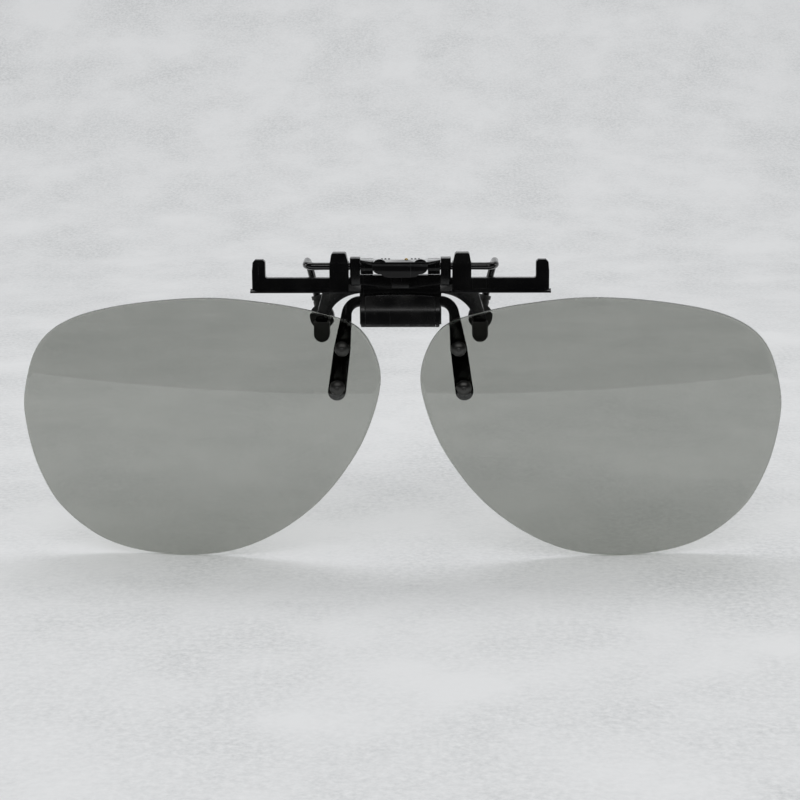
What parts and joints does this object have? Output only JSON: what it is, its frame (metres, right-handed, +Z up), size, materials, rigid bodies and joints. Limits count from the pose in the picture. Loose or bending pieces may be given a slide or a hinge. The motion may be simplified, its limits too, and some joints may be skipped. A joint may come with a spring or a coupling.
{
  "type": "clip-on flip-up sunglasses",
  "caption": "Clip-on sun lenses: a black crossbar with a spring clamp and a flip-up hinge, carrying two large rimless smoke-grey lenses.",
  "frame": {"origin": "middle of the gap between the soft pads and the fixed boots, on the mid-plane", "axes": "+X to the right as seen from the front, +Y towards the wearer, +Z up"},
  "size_m": [0.1344, 0.0118, 0.0545],
  "materials": {
    "black_plastic": "satin",
    "tinted_lens": "gloss",
    "black_metal": "gloss",
    "gunmetal": "polished",
    "black_washer": "satin",
    "spring_steel": "satin",
    "soft_rubber": "satin",
    "nylon": "satin",
    "dark_grey_metal": "satin"
  },
  "bodies": {
    "clip": {"bridge_frame": "black_plastic", "hinge_cover": "black_plastic", "housing_cap_left": "black_plastic", "housing_cap_right": "black_plastic", "detent_leaf_spring": "spring_steel", "leg_boot_left": "soft_rubber", "leg_boot_right": "soft_rubber", "torsion_spring_left": "spring_steel", "torsion_spring_right": "spring_steel"},
    "lens_carrier": {"lens_bridge": "black_metal", "detent_cam": "nylon", "lens_left": "tinted_lens", "lens_right": "tinted_lens", "rivet_upper_left": "gunmetal", "rivet_lower_left": "gunmetal", "rivet_upper_right": "gunmetal", "rivet_lower_right": "gunmetal", "washer_upper_left": "black_washer", "washer_lower_left": "black_washer", "washer_upper_right": "black_washer", "washer_lower_right": "black_washer"},
    "clamp_jaw": {"clamp_wire": "black_metal", "wire_tip_left": "soft_rubber", "wire_tip_right": "soft_rubber", "press_lever": "dark_grey_metal"}
  },
  "joints": [
    {"name": "flip", "type": "hinge", "parent": "clip", "child": "lens_carrier", "pos_m": [0, -0.0062, 0.0053], "axis": [-1, 0, 0], "range_deg": [0, 90], "deforming": ["detent_leaf_spring"]},
    {"name": "clamp_open", "type": "hinge", "parent": "clip", "child": "clamp_jaw", "pos_m": [0, -0.0034, 0.011], "axis": [1, 0, 0], "range_deg": [0, 28], "stiffness_Nm_per_rad": 0.01, "springref_deg": -85.94, "deforming": ["torsion_spring_left", "torsion_spring_right"]}
  ]
}
